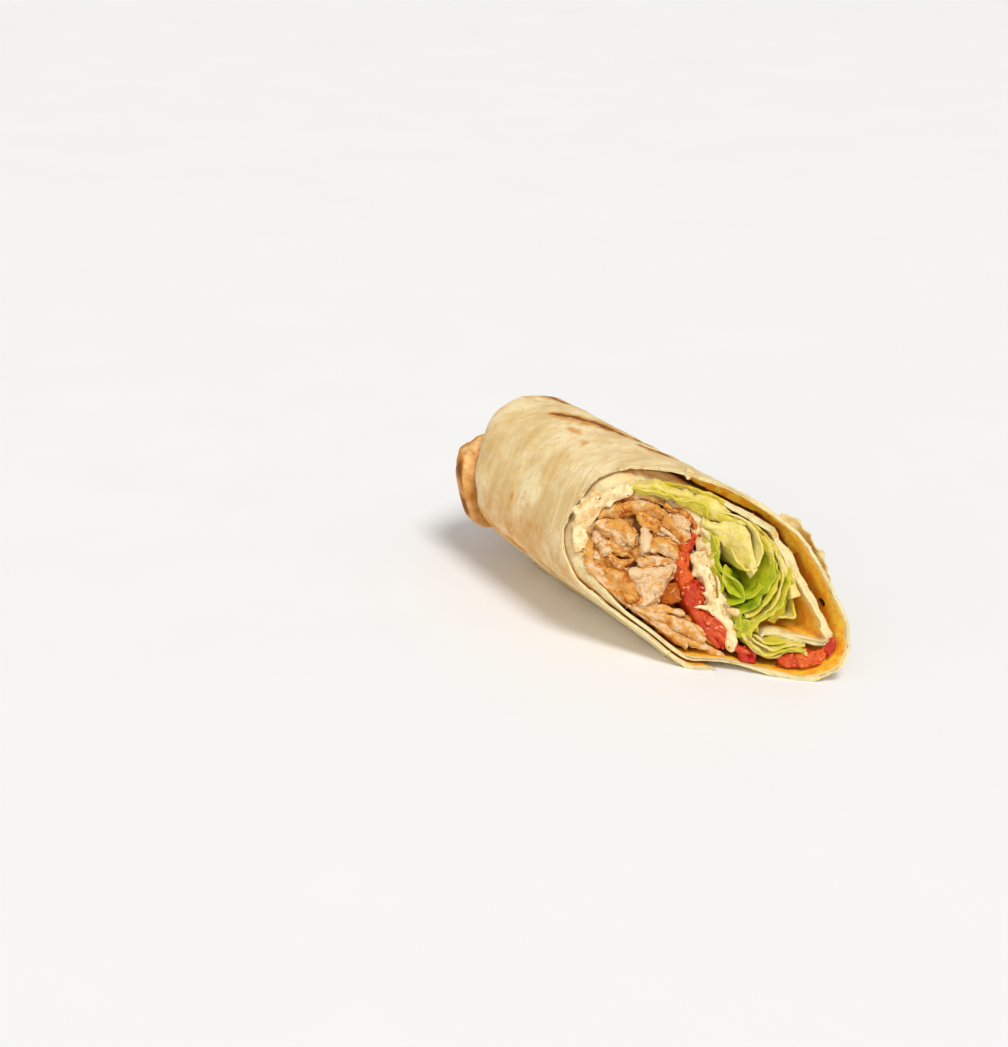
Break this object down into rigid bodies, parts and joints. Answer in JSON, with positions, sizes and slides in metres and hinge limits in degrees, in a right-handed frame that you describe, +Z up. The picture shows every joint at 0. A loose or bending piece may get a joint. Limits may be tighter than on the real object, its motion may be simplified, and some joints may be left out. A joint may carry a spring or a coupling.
{
  "type": "caesar wrap half",
  "caption": "Half of a grilled chicken caesar wrap cut on the slant, its flatbread folded shut at one end and showing chicken, lettuce, tomato and creamy dressing at the other.",
  "frame": {"origin": "middle of the box's underside, on the surface that the wrap lies on", "axes": "+X along the roll towards the cut end, +Z up from the surface, +Y to the left when looking out of the cut end"},
  "size_m": [0.1608, 0.0622, 0.053],
  "materials": {
    "flatbread": "dry baked flatbread, matt, with browned patches",
    "chicken": "moist cooked chicken with a thin glaze of sauce",
    "tomato": "wet tomato flesh",
    "lettuce": "crisp wet leaf, pale at its ribs",
    "dressing": "thick creamy dressing"
  },
  "bodies": {
    "root": {"flatbread": "flatbread", "chicken": "chicken", "tomato_slice_middle": "tomato", "tomato_slice_end": "tomato", "tomato_slice_corner": "tomato", "dressing": "dressing", "lettuce_leaf_top": "lettuce", "lettuce_leaf_pale": "lettuce", "lettuce_leaf_heart": "lettuce", "lettuce_leaf_green": "lettuce", "lettuce_leaf_rib": "lettuce", "lettuce_leaf_outer": "lettuce", "lettuce_leaf_low": "lettuce"}
  },
  "joints": []
}
